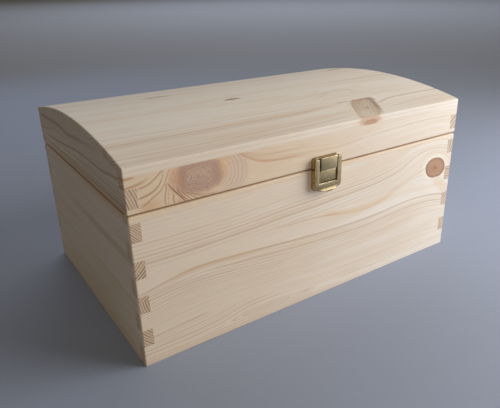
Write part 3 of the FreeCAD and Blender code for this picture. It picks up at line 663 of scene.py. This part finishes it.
TOP_BOARDS = [
    # painted shade: this stave grows warmer and darker towards its left end
    top_board(1, 0.0, (24.0, -12.0), 3.0, wander=2.0, fade=0.25, contrast=0.55, knots=[
        {"at": (272.0, 20.0), "half": (16.0, 26.0), "pith": (274.0, 19.0), "lean": 0.55, "square": 2.6,
         "between": (0.9, None),
         "shells": [(0.0, "#c3a489", 1.0), (0.12, "#ddcbb6", 1.0), (0.6, "#d9c7b0", 1.0),
                    (0.85, "#d2bda3", 0.9), (0.98, "#c2a88d", 0.8), (1.06, "#dfcbb2", 0.5),
                    (1.3, "#ecdfc6", 0.0)],
         "rings": 6.5, "ring_colour": "#8f6b52", "ring_strength": 0.55, "ring_fade": (0.95, 1.04),
         "specks": 0.4, "ragged": 0.3, "spread": 1.5, "squeeze": 0.7},
    ], streaks=[
        long_line([(0, 36.5), (100, 36.0), (170, 35.0), (235, 37.5), (245, 39)], 0.75, stop=250),
        long_line([(0, 33.5), (100, 32.5), (170, 32.5), (235, 35.5), (245, 37)], 0.65, stop=240),
        long_line([(0, 30.5), (100, 30.0), (170, 30.5), (235, 33.0)], 0.35, stop=240),
        long_line([(0, 13.5), (150, 14.0), (235, 17.0)], 0.25, stop=250),
        long_line([(0, 6.5), (150, 6.5), (235, 10.0)], 0.32, stop=262, below=2.2),
        long_line([(0, 2.5), (150, 2.5), (235, 3.5)], 0.22, stop=262),
        long_line([(285, 22), (300, 27), (315, 31.5), (335, 33.5), (400, 33)], 0.6, below=3.4,
                  above=1.4, code="#b8976b", only=[(290, 304)]),
        long_line([(285, 8), (310, 14), (345, 17), (400, 16)], 0.3, below=2.0, only=[(285, 310)]),
    ], marks=[stain(*row, between=(None, 1.5), edge=True) for row in (
        ((258.0, 18.5), (18.0, 5.0), 0.5, 0.5, "#e0be9a"),
        ((259.5, 18.3), (15.0, 4.6), 0.2, 0.75, "#cba384"),
        ((260.0, 20.0), (9.0, 2.8), 0.4, 0.6, "#a97955"),
        ((260.0, 20.4), (5.0, 1.3), 0.5, 0.5, "#c9a07e"),
    )] + [
        stain((273.0, 36.0), (8.0, 6.0), 0.6, 0.6, "#c3a189", lean=0.55),
        stain((262.0, 7.0), (11.0, 9.0), 0.8, 0.5, "#e4d7c3", between=(0.9, None)),
        stain((290.0, 24.0), (3.0, 17.0), 0.7, 0.7, "#8f7057", lean=0.45, between=(0.9, None)),
        stain((284.0, 39.5), (14.0, 1.6), 0.6, 0.5, "#a48468"),
        stain((258.0, 42.0), (8.0, 1.5), 0.6, 0.5, "#9b7c62"),
        stain((296.0, 37.0), (5.0, 4.0), 0.5, 0.6, "#9f8570"),
    ]),
    top_board(2, 42.5, (75.0, -25.0), 3.4, contrast=0.4, knots=[
        {"at": (278.0, 72.0), "half": (22.0, 12.0), "squeeze": 0.6, "bulge": 7.0, "lean": 0.8},
    ], streaks=[
        long_line([(0, 53), (40, 48.5), (100, 47.5), (180, 49.5), (230, 46.5), (245, 43.5)], 0.35,
                  stop=262, code="#a89478"),
        long_line([(240, 70), (258, 73), (272, 76), (285, 75), (300, 69)], 0.4,
                  only=[(240, 255), (300, 280)], code="#a58a70"),
        long_line([(275, 66), (300, 58), (340, 50), (385, 45)], 0.3, only=[(275, 295), (400, 370)],
                  code="#b29a80"),
        long_line([(285, 78), (310, 68), (350, 58), (400, 51)], 0.3, only=[(285, 305)], code="#b29a80"),
    ]),
    top_board(3, 100.0, (130.0, -30.0), 3.6, marks=[
        stain((159.5, 100.0), (10.0, 5.0), 0.4, 0.85, "#8f7354", between=(100.0, None)),
        stain((160.0, 99.5), (5.0, 3.5), 0.3, 0.8, "#6b5038", between=(100.0, None)),
    ], streaks=[
        long_line([(260, 112), (320, 110), (400, 108.5)], 0.5, below=3.0, above=2.0,
                  only=[(270, 340)], code="#ab9270"),
    ]),
    top_board(4, 157.5, (190.0, -26.0), 3.3, marks=[
        stain((101.0, 161.0), (13.0, 5.5), 0.6, 0.5, "#a08767"),
        stain((380.0, 192.0), (14.0, 9.0), 0.6, 0.5, "#b0937c", lean=1.2),
    ]),
    top_board(5, 215.0, (235.0, -20.0), 3.1),
]
BOTTOM_BOARD = {
    "axes": BOTTOM_AXES, "length": 400.0, "seed": 21, "wander": 14.0,
    "staves": [{"from": 0, "pith": (130.0, -40.0), "ring": 5.0}],
}


# --------------------------------------------------------------------- brass

BRUSHING = (9.0, 9.0, 1.2)     # brush marks to the mm across and along the strokes
BLOOM = 0.25                   # duller patches to the mm


def brass(name, settings, skin_colour, dull_colour, roughness, painted_shade=None):
    """Antique brass plating, brushed and lacquered: a soft, slightly streaked sheen, not a mirror.

    Painted shade, if given, is the lowest and highest z in mm of a recess that is painted dark, standing
    in for the shade under the catch plate.
    """
    material, n = new_material(name)
    spot = n("VectorMath", {"Vector": n("TexCoord").node.outputs["Object"], "Scale": 1 / MM},
             operation="SCALE")
    stretched = n("VectorMath", {0: spot, 1: BRUSHING}, operation="MULTIPLY")
    brushing = n("TexNoise", {"Vector": stretched, "Scale": 1.0, "Detail": 2.0})
    bloom = n("TexNoise", {"Vector": spot, "Scale": BLOOM, "Detail": 2.0})
    skin = n("MixRGB", smooth_step(n, bloom, 0.35, 0.65), tuple(skin_colour), tuple(dull_colour))
    # painted shade: the recess under the catch plate is darkened to stand in for its shadow
    if painted_shade:
        rise = n("SeparateXYZ", spot).node.outputs["Z"]
        recess = n("*", smooth_step(n, rise, painted_shade[0] - 0.5, painted_shade[0]),
                   smooth_step(n, rise, painted_shade[1] + 0.1, painted_shade[1] - 0.1))
        skin = n("MixRGB", n("*", recess, 0.85), skin, tuple(settings.painted_shade))
    rough = n("MapRange", brushing, 0.3, 0.7, roughness - 0.04, roughness + 0.06)
    normal = n("Bump", {"Height": brushing, "Distance": settings.brushing_depth, "Strength": 0.5})
    shader = n("BsdfPrincipled", {"Base Color": skin, "Metallic": 1.0, "Roughness": rough,
                                  "Normal": normal})
    n("OutputMaterial", shader)
    return material


class BrassSettings(bpy.types.PropertyGroup):
    """Colours of the fittings"""
    plate: colour_property("Plating", "Antique brass of the latch", "#a19271")
    tarnish: colour_property("Tarnish", "Duller patches of the latch", "#978765")
    rubbed: colour_property("Rubbed brass", "Bright metal along the worn edges", "#d8ccae")
    # painted shade: this dark colour stands in for the shadow in the recess under the catch plate
    painted_shade: colour_property("Grime", "Dark metal in the recess under the catch plate", "#3b2f20")
    # painted reflection: the latch's sides are a brighter golden brass that stands in for the lit wood
    # they reflect
    side: colour_property("Side brass", "Golden brass down the sides of the latch", "#e2b984")
    hinge: colour_property("Hinge brass", "Yellower brass of the hinges and screws", "#bfa26a")
    hinge_dull: colour_property("Hinge tarnish", "Duller patches of the hinges", "#ab8f5b")
    latch_roughness: share_property("Latch roughness", "Dullness of the latch", 0.46)
    hinge_roughness: share_property("Hinge roughness", "Dullness of the hinges and screws", 0.34)
    rubbed_roughness: share_property("Rubbed roughness", "Dullness of the worn edges", 0.25)
    brushing_depth: length_property("Brushing depth", "Depth of the brush marks", 0.01)
    edge: length_property("Edge", "Roundness of the stamped edges", 0.28)
    screw_edge: length_property("Screw edge", "Roundness of the screw heads and slots", 0.12)


PAINTED_SHADE_RISE = (8.0, 10.4)       # mm above the flap's foot, where shade is painted under the catch plate
MERGE_DISTANCE = 0.002 * MM
FLAT_ANGLE = math.radians(1.5)     # faces that turn less than this are one flat face
SHARP_ANGLE = math.radians(40)     # edges that turn more than this are rounded
SMOOTH_ANGLE = math.radians(35)    # and those that turn less than this are shaded smooth
SIDEWAYS = 0.9                     # how squarely a face must look left or right to be a side


def select_only(piece):
    bpy.ops.object.select_all(action="DESELECT")
    piece.select_set(True)
    bpy.context.view_layer.objects.active = piece


def rubbed_copy(name, node, body, edge, finishes):
    """Copy a fitting as one closed mesh and round off its sharp edges, rubbed bright.

    The finishes are for the faces, the rounded edges and, if there is a third, the sides, where a
    brighter brass is a painted reflection of the wood beside them.
    """
    piece = bpy.data.objects.new(name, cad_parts[node].data.copy())
    bpy.context.scene.collection.objects.link(piece)
    select_only(piece)
    piece.data.materials.clear()
    for finish in finishes:
        piece.data.materials.append(finish)
    bpy.ops.object.mode_set(mode="EDIT")
    bpy.ops.mesh.select_all(action="SELECT")
    bpy.ops.mesh.remove_doubles(threshold=MERGE_DISTANCE)
    bpy.ops.mesh.dissolve_limited(angle_limit=FLAT_ANGLE)
    bpy.ops.mesh.normals_make_consistent(inside=False)
    bpy.ops.object.mode_set(mode="OBJECT")
    for face in piece.data.polygons:
        # faces looking left or right take the third finish, if there is one: a painted reflection
        on_side = len(finishes) > 2 and abs(face.normal.x) > SIDEWAYS
        face.material_index = 2 if on_side else 0
    bevel = piece.modifiers.new("edges", "BEVEL")
    bevel.use_clamp_overlap = False
    bevel.limit_method = "ANGLE"
    bevel.angle_limit = SHARP_ANGLE
    bevel.width = edge
    bevel.segments = 3
    bevel.material = 1
    bpy.ops.object.modifier_apply(modifier=bevel.name)
    bpy.ops.object.shade_smooth_by_angle(angle=SMOOTH_ANGLE)
    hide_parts(node)
    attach(piece, body)
    return piece


# --------------------------------------------------------------------- stage

FLOOR_SIZE = 60.0


class StageSettings(bpy.types.PropertyGroup):
    """Floor, lights and camera"""
    floor: colour_property("Floor", "Pale floor under the chest", "#98a1b5")
    sky: colour_property("Sky", "Soft light from all round", "#f0cf82")
    key: colour_property("Key light", "Colour of the main light", "#fcfdff")
    top: colour_property("Top light", "Colour of the light from above", "#bfd8ff")
    backdrop: colour_property("Backdrop", "What the camera sees beyond the floor", "#7d7f85")
    key_power: power_property("Key power", "Strength of the main light", 12.0)
    top_power: power_property("Top power", "Strength of the cool light from above", 2.5)
    back_power: power_property("Back power", "Strength of the light on the floor behind", 150.0)
    fill_power: power_property("Fill power", "Strength of the broad light in front", 20.8)
    sky_strength: FloatProperty(name="Sky strength", description="Strength of the soft light",
                                default=0.13)
    camera_place: FloatVectorProperty(name="Camera place", description="Where the camera stands",
                                      subtype="TRANSLATION", unit="LENGTH",
                                      default=(-0.3198, -0.4963, 0.3146))
    camera_turn: FloatVectorProperty(name="Camera turn", description="Which way the camera looks",
                                     subtype="EULER", unit="ROTATION",
                                     default=[math.radians(a) for a in (67.474, 0.766, -34.905)])
    camera_lens: FloatProperty(name="Camera lens", description="Focal length on a 36 mm sensor",
                               default=37.794)
    camera_shift: FloatVectorProperty(name="Camera shift", description="Framing shift", size=2,
                                      default=(-0.0358, -0.0157))


class ChestSettings(bpy.types.PropertyGroup):
    """Everything that a user would change"""
    wood: PointerProperty(type=WoodSettings)
    brass: PointerProperty(type=BrassSettings)
    stage: PointerProperty(type=StageSettings)


def paint(node, material):
    """Give every slot of a frame node this material."""
    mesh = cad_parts[node].data
    if not mesh.materials:
        mesh.materials.append(material)
    for index in range(len(mesh.materials)):
        mesh.materials[index] = material


class CHEST_OT_boards(bpy.types.Operator):
    """Finish the boards of the body and the lid as raw pine"""
    bl_idname = "chest.boards"
    bl_label = "Pine boards"

    def execute(self, context):
        wood = context.scene.chest.wood
        front = pine("pine_front", FRONT_BOARD, wood)
        paint("body_front", front)
        paint("lid_front_rail", front)
        left = pine("pine_left_end", LEFT_BOARD, wood)
        right = pine("pine_right_end", RIGHT_BOARD, wood)
        for part in ("body", "lid"):
            paint(f"{part}_left_end", left)
            paint(f"{part}_right_end", right)
        back = pine("pine_back", BACK_BOARD, wood)
        paint("body_back", back)
        paint("lid_back_rail", back)
        for number, board in enumerate(TOP_BOARDS, start=1):
            paint(f"lid_stave_{number}", pine(f"pine_top_{number}", board, wood))
        paint("body_bottom", pine("pine_bottom", BOTTOM_BOARD, wood))
        return {"FINISHED"}


class CHEST_OT_latch(bpy.types.Operator):
    """Finish the snap latch: flap, bracket, catch, pin and screws"""
    bl_idname = "chest.latch"
    bl_label = "Snap latch"

    def execute(self, context):
        settings = context.scene.chest.brass
        plating = brass("antique_brass", settings, settings.plate, settings.tarnish,
                        settings.latch_roughness)
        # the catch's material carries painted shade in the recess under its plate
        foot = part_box("latch_flap")[0].z / MM
        under_plate = [foot + rise for rise in PAINTED_SHADE_RISE]
        catch = brass("antique_brass_catch", settings, settings.plate, settings.tarnish,
                      settings.latch_roughness, under_plate)
        rubbed = brass("rubbed_brass", settings, settings.rubbed, settings.plate,
                       settings.rubbed_roughness)
        # painted reflection on the latch's sides
        side = brass("painted_reflection_brass", settings, settings.side, settings.hinge, settings.hinge_roughness)
        screw = brass("screw_brass", settings, settings.hinge, settings.hinge_dull,
                      settings.hinge_roughness)
        for part, body, face in (("flap", "flap", plating), ("bracket", "lid", plating),
                                 ("catch", "body", catch)):
            rubbed_copy(f"snap_{part}", f"latch_{part}", body, settings.edge,
                        (face, rubbed, side))
        rubbed_copy("snap_pin", "latch_pin", "lid", settings.screw_edge,
                    (plating, rubbed))
        for part, body in (("bracket", "lid"), ("catch", "body")):
            rubbed_copy(f"{part}_screws", f"latch_{part}_screws", body,
                        settings.screw_edge, (screw, rubbed))
        return {"FINISHED"}


class CHEST_OT_hinges(bpy.types.Operator):
    """Finish the two butt hinges, their pins and their screws"""
    bl_idname = "chest.hinges"
    bl_label = "Butt hinges"

    def execute(self, context):
        settings = context.scene.chest.brass
        satin = brass("satin_brass", settings, settings.hinge, settings.hinge_dull,
                      settings.hinge_roughness)
        worn = brass("worn_brass", settings, settings.rubbed, settings.hinge,
                     settings.rubbed_roughness)
        for side in ("left", "right"):
            for part, body, edge in (("body_leaf", "body", settings.edge),
                                     ("lid_leaf", "lid", settings.edge),
                                     ("pin", "body", settings.screw_edge)):
                rubbed_copy(f"{part}_{side}", f"hinge_{part}_{side}", body, edge,
                            (satin, worn))
        for body in ("body", "lid"):
            rubbed_copy(f"{body}_hinge_screws", f"hinge_{body}_screws", body,
                        settings.screw_edge, (satin, worn))
        return {"FINISHED"}


class CHEST_OT_stage(bpy.types.Operator):
    """Lay a pale floor and set soft lights and the camera"""
    bl_idname = "chest.stage"
    bl_label = "Stage"

    def execute(self, context):
        scene = context.scene
        stage = scene.chest.stage
        bpy.ops.object.select_all(action="DESELECT")
        bpy.ops.mesh.primitive_plane_add(size=FLOOR_SIZE)
        floor = context.active_object
        floor.name = "floor"
        # matt paint: an even, dull surface, so that the eye stays on the chest
        material, n = new_material("matt_floor")
        n("OutputMaterial", n("BsdfPrincipled", {"Base Color": tuple(stage.floor), "Roughness": 0.8}))
        floor.data.materials.append(material)

        world = bpy.data.worlds.new("soft_sky")
        world.use_nodes = True
        tree = world.node_tree
        sky = tree.nodes["Background"]
        sky.inputs["Color"].default_value = tuple(stage.sky)
        sky.inputs["Strength"].default_value = stage.sky_strength
        # the warm sky lights the chest, and the camera sees plain grey in its place
        backdrop = add(tree, "Background", {"Color": tuple(stage.backdrop), "Strength": 1.0})
        seen = add(tree, "LightPath").node.outputs["Is Camera Ray"]
        shown = add(tree, "MixShader", seen, sky.outputs[0], backdrop)
        tree.links.new(shown, tree.nodes["World Output"].inputs["Surface"])
        scene.world = world

        # each light's name, place, target, width in metres, power and colour
        lights = (
            ("key_light", (0.74, -0.62, 0.47), (0, 0, 0.1), 1.0, stage.key_power, stage.key),
            ("top_light", (-0.1, 1.1, 0.9), (0, 0, 0.1), 1.2, stage.top_power, stage.top),
            ("back_light", (3.6, 4.6, 3.2), (3.6, 4.6, 0.0), 7.0, stage.back_power, stage.key),
            ("fill_light", (-1.3, -3.2, 1.5), (0, 0, 0.1), 3.0, stage.fill_power, stage.key),
        )
        for name, place, target, size, power, tint in lights:
            bpy.ops.object.light_add(type="AREA", location=place)
            light = context.active_object
            light.name = name
            light.data.shape = "DISK"
            light.data.size = size
            light.data.energy = power
            light.data.color = tint[:3]
            aim = Vector(target) - light.location
            light.rotation_euler = aim.to_track_quat("-Z", "Y").to_euler()

        camera = bpy.data.cameras.new("camera")
        camera.lens = stage.camera_lens
        camera.sensor_width = 36.0
        camera.shift_x, camera.shift_y = stage.camera_shift
        holder = bpy.data.objects.new("camera", camera)
        holder.location = stage.camera_place
        holder.rotation_euler = stage.camera_turn
        scene.collection.objects.link(holder)
        scene.camera = holder
        scene.view_settings.view_transform = "Standard"
        return {"FINISHED"}


class CHEST_PT_panel(bpy.types.Panel):
    """Steps that finish the chest"""
    bl_idname = "CHEST_PT_panel"
    bl_label = "Keepsake chest"
    bl_space_type = "VIEW_3D"
    bl_region_type = "UI"
    bl_category = "Chest"

    def draw(self, context):
        for step in STEPS:
            self.layout.operator(step.bl_idname)


STEPS = [CHEST_OT_boards, CHEST_OT_latch, CHEST_OT_hinges, CHEST_OT_stage]
CLASSES = [WoodSettings, BrassSettings, StageSettings, ChestSettings, *STEPS, CHEST_PT_panel]


def register():
    for cls in CLASSES:
        bpy.utils.register_class(cls)
    bpy.types.Scene.chest = PointerProperty(type=ChestSettings)


def unregister():
    del bpy.types.Scene.chest
    for cls in reversed(CLASSES):
        bpy.utils.unregister_class(cls)


def main():
    register()
    bpy.ops.chest.boards()
    bpy.ops.chest.latch()
    bpy.ops.chest.hinges()
    bpy.ops.chest.stage()


if __name__ == "__main__":
    main()
